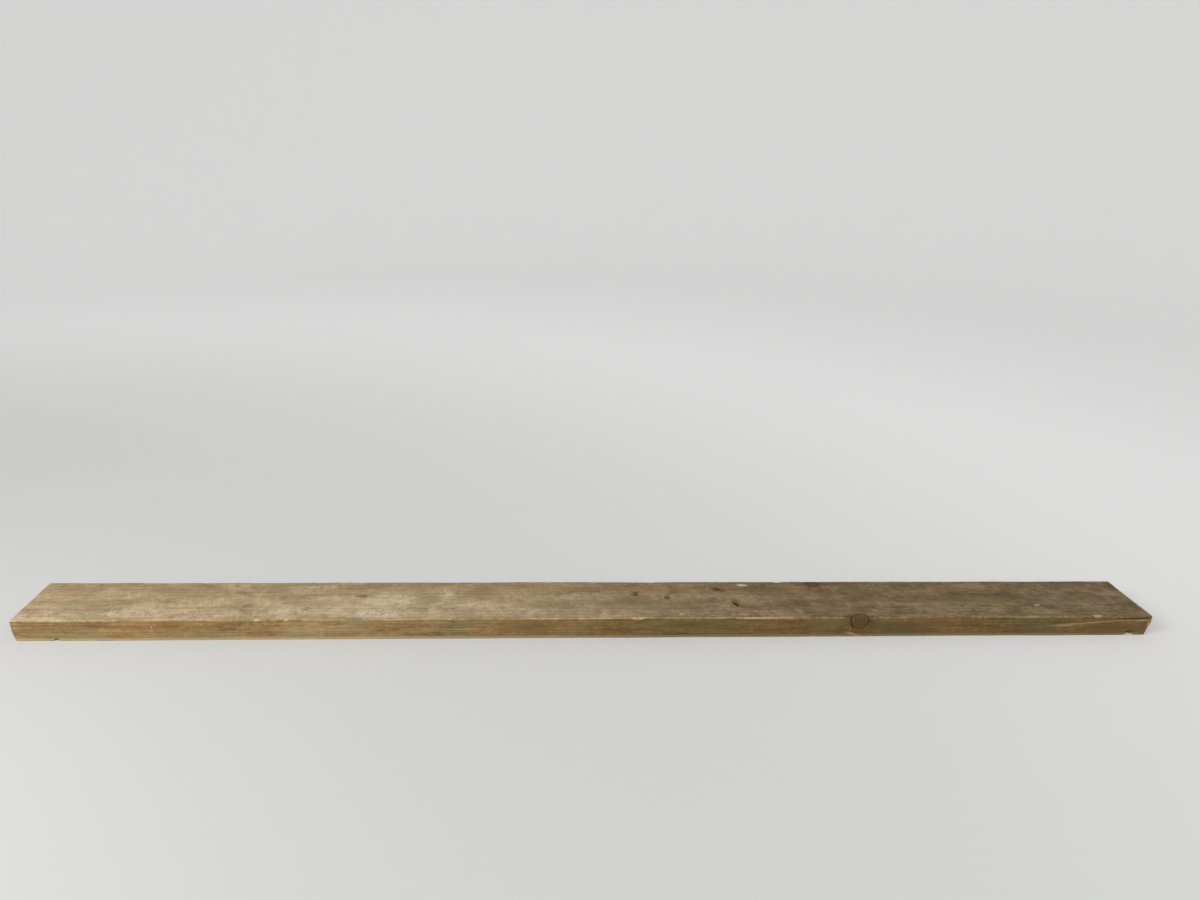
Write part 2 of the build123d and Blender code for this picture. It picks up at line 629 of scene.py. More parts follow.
MARKS = {
    Tone.CHALK: marks(
        (-800, -50, 330, 20, 0.26), (-520, -40, 230, 24, 0.38), (-949, -45, 11, 9, 1.8, 25),
        (-895, -38, 66, 16, 0.55), (-624, -43, 36, 13, 0.6), (-490, -52, 64, 13, 0.6),
        (-440, 0, 70, 30, 0.45), (-440, -50, 74, 22, 0.85), (-150, -48, 66, 20, 0.4),
        (-600, 44, 64, 20, 0.4), (600, 46, 64, 18, 0.35), (-311, 17, 20, 28, 0.55, 12),
        (-250, -25, 52, 16, 0.5), (-46, 22, 34, 4.5, 0.36), (5, -60, 9, 9, 0.38), (57, 32, 8, 5, 0.38),
        (160, -57, 6, 4.5, 1.1, 20), (207, -52, 15, 7, 0.8, -15), (280, -58, 28, 6, 0.8),
        (401, -48, 10, 14, 0.75, 15), (435, 11, 14, 6, 0.28), (556, -46, 7, 10, 0.7, 20),
        (544, -62, 13, 6, 0.7), (632, -64, 40, 6, 0.6), (742, -38, 56, 12, 0.55), (812, -48, 30, 8, 0.45),
        (925, -52, 13, 7, 0.55), (1066, 55, 4, 7, 0.5),
    ),
    Tone.BARE: marks(
        (-1068, -67, 52, 9, 0.4), (-686, 20, 44, 6.5, 0.22, 82), (-742, -72, 60, 1.6, 0.35),
        (-43, -70, 9, 1.6, 0.5), (70, -70, 20, 2.4, 0.6), (229, 48, 2.2, 10, 0.28, -12),
        (304, 57.5, 15, 5.5, 1), (315, -71, 92, 1.6, 0.6), (906, -28, 8, 3, 0.9, 12),
        (900, -38, 4, 2, 0.45, 35), (1010, -69, 13, 2.6, 0.85), (-863, -87, 1.6, 4, 0.6),
        (-550, -95, 95, 16, 0.2), (-263, -94.5, 28, 1.5, 0.4), (508, -111, 19, 2.6, 0.5, -16),
        (1003, -86.5, 118, 1.5, 0.46, 4), (940, -93, 30, 2.2, 0.4, 2), (1104, -82.5, 20, 2.4, 0.45, 3),
        (1120.5, -93, 3.6, 17, 0.55), (1121.5, -12, 3, 62, 0.4, -1.5),
    ),
    Tone.RUST: marks(
        (-965, 50, 12, 8, 0.25), (-720, 28, 26, 10, 0.6, -28), (-698, -19, 16, 6, 0.6, 41),
        (-699, -40, 16, 6, 0.6, -46), (-196, -25, 7, 28, 0.28), (-14, 42, 60, 11, 0.45),
        (75, -4, 32, 28, 0.28), (310, -34, 36, 12, 0.28), (1108, 36, 9, 4, 0.6),
        (1085, -71, 36, 2.4, 0.4), (-1000, -84, 96, 2.2, 0.45), (-1085, -92, 34, 9, 0.3),
        (-902, -86, 48, 5, 0.35), (-640, -100, 40, 6, 0.25), (-195, -98, 22, 8, 0.35),
        (880, -104, 48, 6, 0.4), (1112, -97, 9, 14, 0.5),
    ),
    Tone.MOSS: marks(
        (-645, 42, 14, 8, 0.3), (-6, -45, 9, 18, 0.3), (531, 42, 28, 15, 0.55), (-968, -86, 16, 6, 0.45),
        (-150, -95, 66, 20, 0.35), (2, -84, 16, 6, 0.35), (180, -92, 46, 14, 0.4),
        (572, -95, 40, 15, 0.6), (1020, -110, 46, 6, 0.35),
    ),
    Tone.SOOT: marks(
        (-583, -35, 8, 4, 0.7, -15), (-482, 53, 62, 13, 0.26), (-345, -37, 10, 2.4, 0.7, -48),
        (-352, -44, 16, 8, 0.25, -40), (-240, 34, 44, 26, 0.26), (-30, 34, 32, 1.8, 0.6),
        (-2, 36, 5, 4, 0.5), (175, -38, 30, 7, 0.25), (214, 44, 26, 6, 0.3), (245, 40, 6, 4, 0.6),
        (139, 7.5, 5, 3.5, 0.6), (75, 24, 4.5, 6, 0.6), (257, 35, 13, 4.5, 0.6, -22),
        (277.5, -18.5, 11, 4, 1, -62), (475, -12, 24, 46, 0.3), (459, 72, 20, 8, 0.45),
        (520, -40, 16, 16, 0.25), (713, 28, 9, 6, 0.35), (770, 4, 390, 26, 0.18), (876, 10, 26, 24, 0.24),
        (1016, 22, 28, 5.5, 0.42, -5), (-287, -78, 13, 3, 0.55), (480, -95, 10, 6, 0.5),
        (538, -80, 9, 2.4, 0.8, -24), (546, -99, 16, 8, 0.35), (620, -97, 80, 12, 0.4),
        (1050, -98, 70, 10, 0.3), (1020, -74.5, 62, 1.2, 0.6), (1090, -76.8, 38, 1.3, 0.9, 2),
        # painted shade on the upper rim of the broken bottom front arris near the right end
        (1085, -107, 11, 3.5, 1),
    ),
    Tone.GREY: marks(
        (305, 43, 16, 8, 0.4), (1020, -50, 24, 8, 0.35),
    ),
}


# Stations of the lattice that the plank's skin is laid on


@dataclass(frozen=True)
class Spot:
    """A stretch of one axis where the lattice is finer."""

    middle: float
    reach: float
    spacing: float


@dataclass(frozen=True)
class Ruler:
    """Sets out stations along one axis, close together at its spots and coarse elsewhere."""

    low: float
    high: float
    coarse: float
    spots: tuple[Spot, ...]
    growth: float = 0.25
    fixed: tuple[float, ...] = ()

    def spacing(self, at: float) -> float:
        """How far apart stations are at a place."""
        fine = (s.spacing + self.growth * max(0.0, abs(at - s.middle) - s.reach) for s in self.spots)
        return min(self.coarse, *fine)

    def stations(self) -> np.ndarray:
        """Sets out the stations.

        Returns:
            Rising positions from low to high, with every fixed one among them.
        """
        found = [self.low]
        while found[-1] < self.high:
            found.append(found[-1] + self.spacing(found[-1]))
        even = np.array(found)
        even = self.low + (even - self.low) * (self.high - self.low) / (even[-1] - self.low)
        if self.fixed:
            gap = np.abs(even[:, None] - np.array(self.fixed)[None, :]).min(axis=1)
            room = np.array([self.spacing(s) for s in even]) * 0.45
            ends = np.isin(np.arange(len(even)), (0, len(even) - 1))
            even = np.concatenate([even[(gap > room) | ends], np.array(self.fixed)])
        return np.sort(even)


def box_skin(name: str, xs: np.ndarray, ys: np.ndarray, zs: np.ndarray) -> bpy.types.Mesh:
    """Lays a closed skin of four-sided faces over a box, with a vertex at every station.

    Args:
        name: The mesh's name.
        xs: Stations along X, rising.
        ys: Stations along Y, rising.
        zs: Stations along Z, rising.

    Returns:
        The mesh, in the units of the stations times MM.
    """
    shape = (len(xs), len(ys), len(zs))
    grid = np.indices(shape)
    last = np.array(shape)[:, None, None, None] - 1
    on_skin = ((grid == 0) | (grid == last)).any(axis=0)
    number = np.full(shape, -1)
    number[on_skin] = np.arange(on_skin.sum())
    i, j, k = (axis[on_skin] for axis in grid)
    points = np.stack([xs[i], ys[j], zs[k]], axis=1) * MM
    faces = []
    for axis in range(3):
        for side, place in ((-1, 0), (1, shape[axis] - 1)):
            sheet = np.take(number, place, axis=axis)
            corners = [sheet[:-1, :-1], sheet[1:, :-1], sheet[1:, 1:], sheet[:-1, 1:]]
            turned = (axis == 1) == (side > 0)
            order = corners[::-1] if turned else corners
            faces.append(np.stack([c.ravel() for c in order], axis=1))
    mesh = bpy.data.meshes.new(name)
    mesh.from_pydata(points.tolist(), [], np.concatenate(faces).tolist())
    return mesh


def set_inputs(modifier: bpy.types.NodesModifier, values: dict[str, object]) -> None:
    """Sets a Geometry Nodes modifier's inputs by their sockets' identifiers.

    Args:
        modifier: The modifier, with its tree already given.
        values: What each named input gets.
    """
    sockets = {s.name: s for s in modifier.node_group.interface.items_tree if s.in_out == "INPUT"}
    for name, value in values.items():
        modifier[sockets[name].identifier] = value


# The plank


@dataclass
class Plank:
    """The plank's skin: worn arrises, scars, knots, splits and raised grain on one closed mesh."""

    stock: Stock = field(default_factory=Stock)
    rings: Rings = field(default_factory=Rings)
    split: DryingSplit = field(default_factory=DryingSplit)
    pit: Pit = field(default_factory=Pit)
    wear: dict[Arris, float] = field(default_factory=lambda: {
        Arris.FRONT_TOP: 3.0, Arris.BACK_TOP: 2.2, Arris.FRONT_BOTTOM: 1.6, Arris.BACK_BOTTOM: 1.8})
    end_wear: float = 1.0
    skew_reach: float = 140.0
    waver: float = 0.8
    ridge: float = 0.3
    dent: float = 0.8
    sharp_from: float = 48.0
    seed: int = 7
    node: str = "plank"

    def breaks(self) -> list[BreakOff]:
        """Every place where wood has broken away."""
        return [scar.as_break(self.stock) for scar in (*SPLINTERS, *CORNERS)]

    def skin(self) -> bpy.types.Mesh:
        """The sharp-cornered skin, with its stations close together where there is detail.

        Returns:
            A closed mesh.
        """
        s = self.stock
        ends = tuple(Spot(x, 3.0, 0.6) for x in (s.left, s.right))
        corners = (Spot(s.left, 10.0, 2.2), Spot(s.right, 14.0, 2.2))
        scars = tuple(Spot(p.x, p.length / 2, min(5.0, p.length / 8)) for p in SPLINTERS)
        knots = tuple(Spot(k.x, k.half_length + 2, max(1.7, k.half_length / 6)) for k in KNOTS)
        middle = s.right - self.split.length / 2
        along = (*ends, *corners, *scars, *knots, Spot(middle, self.split.length / 2, 3.0))
        xs = Ruler(s.left, s.right, 14.0, along, growth=0.4).stations()
        across = (Spot(s.front, 2.8, 0.62), Spot(s.back, 2.2, 0.6), Spot(self.pit.y, 6.0, 1.5),
                  Spot(s.front, 18.0, 1.7))
        lines = tuple(c.y + step for c in CHECKS for step in (-c.half_mouth, 0.0, c.half_mouth))
        ys = Ruler(s.front, s.back, 2.6, across, growth=0.3, fixed=lines).stations()
        level = s.thickness - self.split.below_top
        slit = tuple(level + step for step in (-self.split.mouth / 2, 0.0, self.split.mouth / 2))
        up = (Spot(0.0, 1.6, 0.5), Spot(s.thickness, 2.8, 0.62))
        zs = Ruler(0.0, s.thickness, 1.2, up, fixed=slit).stations()
        LOG.info("lattice of %d by %d by %d stations", len(xs), len(ys), len(zs))
        return box_skin("plank_skin", xs, ys, zs)

    def build(self, material: bpy.types.Material) -> bpy.types.Object:
        """Makes the plank as a plain mesh that rides on the root body.

        Args:
            material: The finish.

        Returns:
            The finished piece.
        """
        rough = placed("plank_rough", self.skin())
        modifier = rough.modifiers.new("worn", "NODES")
        modifier.node_group = WornPlank(self).tree
        values = {f"{arris.label} wear": radius for arris, radius in self.wear.items()}
        low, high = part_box(self.node)
        set_inputs(modifier, {**values, "End wear": self.end_wear, "Seed": self.seed, "Lowest corner": low,
                              "Highest corner": high, "Finish": material})
        evaluated = rough.evaluated_get(bpy.context.evaluated_depsgraph_get())
        mesh = bpy.data.meshes.new_from_object(evaluated)
        mesh.name = "weathered_plank"
        mesh.set_sharp_from_angle(angle=math.radians(self.sharp_from))
        bpy.data.objects.remove(rough)
        piece = placed("weathered_plank", mesh)
        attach(piece, "root")
        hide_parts(self.node)
        return piece


# The steps that wear the plank, written as Geometry Nodes


def eased_pair() -> Group:
    """Rounds a square corner: how far in each side moves, so that squares become circles.

    Returns:
        A group with the inputs A and B, how far a point lies past the inner box on each side, and
        the outputs Cut A and Cut B.
    """
    g = Group("eased_pair", TreeKind.GEOMETRY)
    a, b = g.inlets(FLOAT, "A", "B")
    kept = g.most(a, b) / g.most(g.reach(a, b), TINY)
    g.outlet("Cut A", a * (1.0 - kept))
    g.outlet("Cut B", b * (1.0 - kept))
    return g


def broken_wood() -> Group:
    """Moves what stands proud of a break inwards on to it.

    Returns:
        A group that passes on Position and Torn, with the break's own inputs.
    """
    g = Group("broken_wood", TreeKind.GEOMETRY)
    place, corner, outwards = g.inlets(VECTOR, "Position", "Corner", "Outwards")
    torn, half_length, depth, seed, fresh = g.inlets(FLOAT, "Torn", "Half length", "Depth", "Seed", "Fresh")
    rel = place - corner
    share = g.split(rel)[0] / half_length
    bow = g.most(1.0 - share * share, 0.0)
    shifted = place + g.join(seed * 31.0, 0.0, 0.0)
    fibres = g.noise(shifted, (16.0, 1.6, 1.6), detail=3.0, roughness=0.6) - 0.5
    floor = (depth * -1.0 + fibres * 1.6) * bow
    cut = g.most(g.dot(rel, outwards) - floor, 0.0)
    g.outlet("Position", place - outwards * cut, VECTOR)
    g.outlet("Torn", g.most(torn, g.smooth(cut, 0.15, 0.9) * fresh))
    return g


class WornPlank(Group):
    """The Geometry Nodes tree that turns the sharp skin into the worn plank, one step after another."""

    def __init__(self, plank: Plank) -> None:
        """Writes the whole tree.

        Args:
            plank: The plank, whose sizes the steps follow.
        """
        super().__init__("worn_plank", TreeKind.GEOMETRY)
        self.plank = plank
        self.pair = eased_pair()
        self.torn: Value = 0.0
        self.sunk: Value = 0.0
        (skin,) = self.inlets("NodeSocketGeometry", "Geometry")
        self.wear = dict(zip(Arris, self.inlets(FLOAT, *(f"{arris.label} wear" for arris in Arris))))
        (self.end_wear,) = self.inlets(FLOAT, "End wear")
        (self.seed,) = self.inlets("NodeSocketInt", "Seed")
        low, high = self.inlets(VECTOR, "Lowest corner", "Highest corner")
        (finish,) = self.inlets("NodeSocketMaterial", "Finish")
        self.place = self.made("GeometryNodeInputPosition") * (1 / MM)
        for step in (self.ease, self.warp, self.break_off, self.open_split, self.open_checks, self.sink_pit):
            step()
        for name, value in (("rubbed", self.rubbed), ("torn", self.torn), ("sunk", self.sunk)):
            inputs = {"Geometry": skin, "Name": name, "Value": value}
            skin = self.made("GeometryNodeStoreNamedAttribute", inputs)
        skin = self.made("GeometryNodeSetPosition", {"Geometry": skin, "Position": self.place * MM})
        inwards = self.made("GeometryNodeInputNormal") * (self.relief() * -MM)
        skin = self.made("GeometryNodeSetPosition", {"Geometry": skin, "Offset": inwards})
        inside = self.least(self.most(self.made("GeometryNodeInputPosition"), low), high)
        skin = self.made("GeometryNodeSetPosition", {"Geometry": skin, "Position": inside})
        for kind in ("GeometryNodeSetShadeSmooth", "GeometryNodeRealizeInstances"):
            skin = self.made(kind, {"Geometry": skin})
        skin = self.made("GeometryNodeSetMaterial", {"Geometry": skin, "Material": finish})
        self.outlet("Geometry", skin, "NodeSocketGeometry")

    def past(self, value: Wire, half: float, wear: Value) -> Wire:
        """How far a point lies beyond the flat part that wear has left of one side."""
        return self.most(self.size(value) - half + wear, 0.0)

    def rounded(self, a: Wire, b: Wire, past_a: Wire, past_b: Wire) -> tuple[Wire, Wire]:
        """Two of a point's coordinates, moved in so that the corner between them is round."""
        cut = self.pair.use(self, {"A": past_a, "B": past_b})
        return (a - self.sign(a) * self.out(cut, "Cut A"), b - self.sign(b) * self.out(cut, "Cut B"))

    def ease(self) -> None:
        """Wears the arrises round, unevenly along their length."""
        s, wear = self.plank.stock, self.wear
        x, y, z = self.split(self.place)
        rise = z - s.thickness / 2
        past_x = self.past(x, s.length / 2, self.end_wear)
        x, y = self.rounded(x, y, past_x, self.past(y, s.width / 2, self.end_wear))
        x, rise = self.rounded(x, rise, past_x, self.past(rise, s.thickness / 2, self.end_wear))
        at_back, at_top = self.smooth(y, -1.0, 1.0), self.smooth(rise, -1.0, 1.0)
        radius = self.mix(at_back, self.mix(at_top, wear[Arris.FRONT_BOTTOM], wear[Arris.FRONT_TOP]),
                          self.mix(at_top, wear[Arris.BACK_BOTTOM], wear[Arris.BACK_TOP]))
        # each arris reads the noise along a line of its own
        line = self.join(x, at_back * 300.0 + at_top * 700.0, 0.0)
        uneven = self.noise(line, (75.0, 1.0, 1.0), detail=2.0, seed=1.0)
        nick = self.smooth(self.noise(line, (13.0, 1.0, 1.0), detail=1.0, seed=2.0), 0.63, 0.76)
        radius = radius * (self.span(uneven, 0.3, 0.7, 0.6, 1.35) + nick * 0.7)
        past_y, past_z = self.past(y, s.width / 2, radius), self.past(rise, s.thickness / 2, radius)
        y, rise = self.rounded(y, rise, past_y, past_z)
        self.rubbed = self.smooth(self.least(past_y, past_z) / radius, 0.0, 0.6)
        self.place = self.join(x, y, rise + s.thickness / 2)

    def warp(self) -> None:
        """Runs the end cuts out of square, and lets the long faces waver a little inwards."""
        s, waver, reach = self.plank.stock, self.plank.waver, self.plank.skew_reach
        x, y, z = self.split(self.place)
        at_left = self.smooth(x, s.left + reach, s.left) * s.left_skew
        at_right = self.smooth(x, s.right - reach, s.right) * s.right_skew
        x = x + at_left * (0.5 - y / s.width) - at_right * (0.5 + y / s.width)
        # each edge reads the noise along a line of its own
        line = self.join(x, self.sign(y) * 90.0, 0.0)
        edge = self.smooth(self.noise(line, (260.0, 1.0, 1.0), detail=1.0, seed=4.0), 0.3, 0.7)
        face = self.smooth(self.noise(self.place, (330.0, 90.0, UNIFORM), detail=1.0, seed=5.0), 0.3, 0.7)
        edge, face = edge * waver, face * waver
        self.place = self.join(x, y - y * edge / (s.width / 2), z - z * face / s.thickness)

    def break_off(self) -> None:
        """Takes away what the splinters and the knocked corners have lost."""
        group = broken_wood()
        for number, scar in enumerate(self.plank.breaks()):
            node = group.use(self, {"Position": self.place, "Torn": self.torn, "Corner": scar.place,
                                    "Outwards": scar.outwards, "Half length": scar.half_length,
                                    "Depth": scar.depth, "Seed": self.seed + float(number),
                                    "Fresh": scar.fresh})
            self.place, self.torn = self.out(node, "Position"), self.out(node, "Torn")

    def open_split(self) -> None:
        """Opens the drying split in the front edge."""
        s, split = self.plank.stock, self.plank.split
        x, y, z = self.split(self.place)
        share = self.span(x, s.right - split.length, s.right)
        in_front = self.smooth(y, s.front + 4.0, s.front + 2.0) * self.smooth(share, 0.0, 0.03)
        offset = z - (s.thickness - split.below_top)
        wander = self.noise(self.place, (22.0, UNIFORM, UNIFORM), seed=6.0) - 0.5
        drop = (1.0 - share) * split.drop + wander
        opened = self.most(1.0 - self.size(offset) / (split.mouth / 2), 0.0) * in_front
        opened = opened * self.power(share, 0.7)
        self.place = self.join(x, y + opened * split.depth, z - drop * self.bell(offset / 4.0) * in_front)
        self.sunk = self.most(self.sunk, self.smooth(opened, 0.0, 0.4))

    def open_checks(self) -> None:
        """Opens the drying checks in the two ends."""
        x, y, z = self.split(self.place)
        for check in CHECKS:
            from_end = self.plank.stock.length / 2 - x * check.end
            at_end = self.smooth(from_end, 4.5, 3.5)
            within = self.smooth(z, check.low - 4.0, check.low + 4.0)
            within = within * self.smooth(z, check.high + 4.0, check.high - 4.0)
            opened = self.most(1.0 - self.size(y - check.y) / check.half_mouth, 0.0) * within * at_end
            lean = (self.noise(self.place, (UNIFORM, UNIFORM, 9.0), seed=check.y) - 0.5) * 5.0
            x = x - opened * (check.end * check.depth * 0.25)
            y = y + lean * self.bell((y - check.y) / 5.0) * at_end * within
            self.sunk = self.most(self.sunk, opened)
        self.place = self.join(x, y, z)

    def sink_pit(self) -> None:
        """Sinks the pit of the dead knot into the top face."""
        pit, thickness = self.plank.pit, self.plank.stock.thickness
        rel = self.place - (pit.x, pit.y, 0.0)
        share = self.reach(*(self.dot(rel, axis) for axis in oval(pit.half_length, pit.half_width, pit.turn)))
        top = self.smooth(self.split(self.place)[2], thickness - 4.0, thickness - 2.0)
        hollow = self.smooth(share, 1.25, 0.5) * top
        self.place = self.place - self.join(0.0, 0.0, hollow * pit.depth)
        self.sunk = self.most(self.sunk, self.smooth(hollow, 0.1, 0.8))

    def relief(self) -> Wire:
        """How far the weathered surface lies below the worn form: raised grain, dents and knot grooves.

        Returns:
            The depth in millimetres, never negative.
        """
        plank = self.plank
        place = self.made("GeometryNodeInputPosition") * (1 / MM)
        late = plank.rings.late(self, place, plank.rings.radius(self, place))
        troughs = self.smooth(self.noise(place, (110.0, 6.5, 6.5), detail=3.0, seed=11.0), 0.25, 0.75)
        dents = self.smooth(self.noise(place, (26.0, 13.0, 13.0), detail=2.0, seed=12.0), 0.62, 0.85)
        depth = (1.0 - late) * (plank.ridge * 0.4) + troughs * plank.ridge + dents * plank.dent
        for knot in KNOTS:
            share = knot.distance(self, place, plank.rings)
            ring = self.bell((share - 1.0) * (knot.half_width / 1.1))
            depth = depth * (1.0 - self.smooth(share, 1.0, 0.7) * 0.6) + ring * knot.groove
        return depth


# Finishes


# How far the edges of marks stray, in millimetres: each mark takes the one nearest its smaller half size
RAGGED_REACHES = (1.5, 3.0, 5.5, 9.0)


@dataclass(frozen=True)
class Patterns:
    """What the wood is like where a material reads it: the place, the rings and the noises there."""

    s: Sheet
    rings: Rings
    place: Wire
    x: Wire
    y: Wire
    z: Wire
    radius: Wire
    late: Wire
    fibre: Wire
    streak: Wire
    blotch: Wire
    mottle: Wire
    saw: Wire
    speck: Wire
    hue: Wire
    band: Wire
    hairline: Wire
    drift: Wire

    @classmethod
    def read(cls, s: Sheet, rings: Rings) -> Patterns:
        """Writes every pattern into a material.

        Args:
            s: The material's tree.
            rings: The growth rings.

        Returns:
            The patterns.
        """
        place = s.made("ShaderNodeTexCoord", output="Object") * (1 / MM)
        x, y, z = s.split(place)
        drift = s.noise(place, (13.0, 9.0, 9.0), detail=4.0, roughness=0.6, seed=25.0, part="Color")
        drift = (drift - (0.5, 0.5, 0.5)) * 2.0
        bent = place + drift * 3.0
        along, across, up = s.split(bent)
        slanted = s.join(along + (across + up) * 0.45, across + up - along * 0.45, 0.0)
        lines = s.bell((s.noise(place + drift, (150.0, 4.6, 4.6), detail=2.0, seed=30.0) - 0.5) * 52.0)
        where = s.smooth(s.noise(place, (110.0, 16.0, 16.0), detail=2.0, seed=31.0), 0.54, 0.66)
        noises = {
            "fibre": s.noise(place, (38.0, 0.9, 0.9), detail=4.0, roughness=0.62, seed=21.0),
            "streak": s.noise(place, (240.0, 7.0, 7.0), detail=4.0, roughness=0.6, seed=22.0),
            "blotch": s.noise(bent, (92.0, 40.0, 40.0), detail=5.0, roughness=0.62, seed=23.0),
            "mottle": s.noise(bent, (14.0, 11.0, 11.0), detail=5.0, roughness=0.7, seed=28.0),
            "saw": s.noise(slanted, (4.6, 44.0, 1.0), detail=3.0, roughness=0.6, seed=26.0),
            "speck": s.noise(place, (2.8, 2.0, 2.0), detail=3.0, roughness=0.7, seed=24.0),
            "hue": s.noise(place, (150.0, 60.0, 60.0), detail=4.0, seed=27.0),
            "band": s.noise(bent, (85.0, 11.0, 11.0), detail=4.0, roughness=0.6, seed=29.0),
        }
        radius = rings.radius(s, place)
        return cls(s=s, rings=rings, place=place, x=x, y=y, z=z, radius=radius,
                   late=rings.late(s, place, radius), hairline=lines * where, drift=drift, **noises)

    def lean(self, **weights: float) -> Wire:
        """The sum of the named noises, each as far as it is from its middle and times its weight."""
        parts = [(getattr(self, name) - 0.5) * weight for name, weight in weights.items()]
        return sum(parts[1:], parts[0])


@dataclass(frozen=True)
class WeatheredPine:
    """Old sawn pine: a greyed top face and warmer, browner edges, with its rings showing through, darker
    towards the right end from dirt and painted shade.
    """

    top_light: Colour = srgb(212, 192, 158)
    top_mid: Colour = srgb(179, 156, 120)
    top_dark: Colour = srgb(138, 115, 84)
    edge_light: Colour = srgb(195, 163, 113)
    edge_mid: Colour = srgb(159, 129, 82)
    edge_dark: Colour = srgb(120, 92, 53)
    under_tint: Colour = srgb(228, 214, 192)
    late_tint: Colour = srgb(190, 158, 118)
    end_tint: Colour = srgb(200, 188, 170)
    # These two tints darken the top and the edges towards the right end: partly dirt, partly painted shade as
    # if less light fell there
    top_dirt: Colour = (0.56, 0.52, 0.45, 1.0)
    edge_dirt: Colour = (0.6, 0.59, 0.5, 1.0)
    back_dirt: Colour = (0.86, 0.83, 0.76, 1.0)
    cream: Colour = srgb(228, 206, 166)
    fresh: Colour = srgb(226, 199, 155)
    knot_light: Colour = srgb(128, 88, 52)
    knot_dark: Colour = srgb(64, 42, 24)
    knot_stain: Colour = srgb(204, 172, 136)
    bark: Colour = srgb(54, 34, 15)
    crack: Colour = srgb(30, 23, 16)
    green: Colour = srgb(144, 136, 95)
    pink: Colour = srgb(193, 155, 126)
    orange: Colour = srgb(174, 130, 76)
    scuffed: Colour = srgb(188, 170, 140)
    roughness: float = 0.84
    # Where the darkening by dirt and painted shade starts and ends along X, and how unevenly its border runs,
    # in millimetres
    clean_to: float = -420.0
    dirty_from: float = 520.0
    uneven_dirt: float = 420.0

    def stain_group(self) -> Group:
        """A soft-edged oval stain.

        Returns:
            A group with the inputs Place, Middle, Along, Across and Strength, and the output Mask.
        """
        g = Group("stain", TreeKind.SHADER)
        place, middle, along, across = g.inlets(VECTOR, "Place", "Middle", "Along", "Across")
        (strength,) = g.inlets(FLOAT, "Strength")
        rel = place - middle
        g.outlet("Mask", g.smooth(g.reach(g.dot(rel, along), g.dot(rel, across)), 1.2, 0.3) * strength)
        return g

    def stains(self, p: Patterns, flat: Wire) -> dict[Tone, Wire]:
        """The masks of all marks, one for each tone, with one mark of painted shade among them.

        Args:
            p: The wood's patterns, which break the marks up.
            flat: X and across, in millimetres.

        Returns:
            A mask for each tone, from 0 to 1.
        """
        s, group = p.s, self.stain_group()
        ragged = {reach: flat + p.drift * reach for reach in RAGGED_REACHES}
        soft = s.span(p.mottle + p.lean(speck=1.0), 0.38, 0.6, 0.2, 1.2)
        scraped = s.span(p.fibre + p.lean(speck=0.5), 0.4, 0.56, 0.25, 1.15)
        masks: dict[Tone, Wire] = {}
        for tone, of_tone in MARKS.items():
            for mark in of_tone:
                along, across = oval(mark.half_length, mark.half_width, mark.turn)
                wanted = min(mark.half_length, mark.half_width) * 1.1
                reach = min(RAGGED_REACHES, key=lambda step: abs(step - wanted))
                mask = s.out(group.use(s, {
                    "Place": ragged[reach], "Middle": (mark.x, mark.across, 0.0),
                    "Along": along, "Across": across, "Strength": mark.strength}), "Mask")
                masks[tone] = s.most(masks[tone], mask) if tone in masks else mask
            masks[tone] = s.least(masks[tone] * (scraped if tone is Tone.BARE else soft), 1.0)
        return masks

    def top(self, p: Patterns) -> Wire:
        """The greyed wood of the broad faces.

        Args:
            p: The wood's patterns.

        Returns:
            The colour.
        """
        s = p.s
        sawn = p.lean(saw=0.6) * s.smooth(p.blotch, 0.4, 0.62)
        tone = p.lean(blotch=1.25, mottle=1.15, fibre=0.4, streak=0.15, speck=0.85) + sawn
        tone = tone * s.span(p.x, -300.0, 500.0, 1.0, 1.45)
        top = s.shade(tone, self.top_dark, self.top_mid, self.top_light)
        top = s.mix(s.smooth(p.hue, 0.52, 0.67) * 0.4, top, self.green)
        top = s.mix(s.smooth(p.hue + p.lean(mottle=0.3), 0.46, 0.32) * 0.22, top, self.pink)
        top = s.tinted(top, p.late * 0.22, self.late_tint)
        # darker towards the right end: dirt and painted shade
        dirt_and_shade = s.smooth(p.x + p.lean(blotch=self.uneven_dirt), self.clean_to, self.dirty_from)
        top = s.tinted(top, dirt_and_shade, self.top_dirt)
        at_back = s.smooth(p.y + p.lean(mottle=40.0), 5.0, 62.0) * s.smooth(p.x, 800.0, 300.0)
        return s.tinted(top, at_back, self.back_dirt)

    def edge(self, p: Patterns) -> Wire:
        """The warmer wood of the narrow edges, scuffed grey along the bottom.

        Args:
            p: The wood's patterns.

        Returns:
            The colour.
        """
        s = p.s
        grain = p.lean(streak=0.5, fibre=0.8, band=1.2, mottle=1.3)
        edge = s.shade(grain, self.edge_dark, self.edge_mid, self.edge_light)
        edge = s.mix(s.smooth(p.hue + p.lean(band=0.5), 0.5, 0.66) * 0.55, edge, self.green)
        edge = s.mix(s.smooth(p.hue + p.lean(mottle=0.5), 0.48, 0.34) * 0.32, edge, self.orange)
        edge = s.tinted(edge, p.late * 0.32, self.late_tint)
        edge = s.mix(s.smooth(p.z + p.lean(mottle=8.0), 8.0, 4.0) * 0.75, edge, self.scuffed)
        # darker towards the right end: dirt and painted shade
        dirt_and_shade = s.smooth(p.x + p.lean(blotch=self.uneven_dirt), -520.0, 260.0)
        return s.tinted(edge, dirt_and_shade, self.edge_dirt)

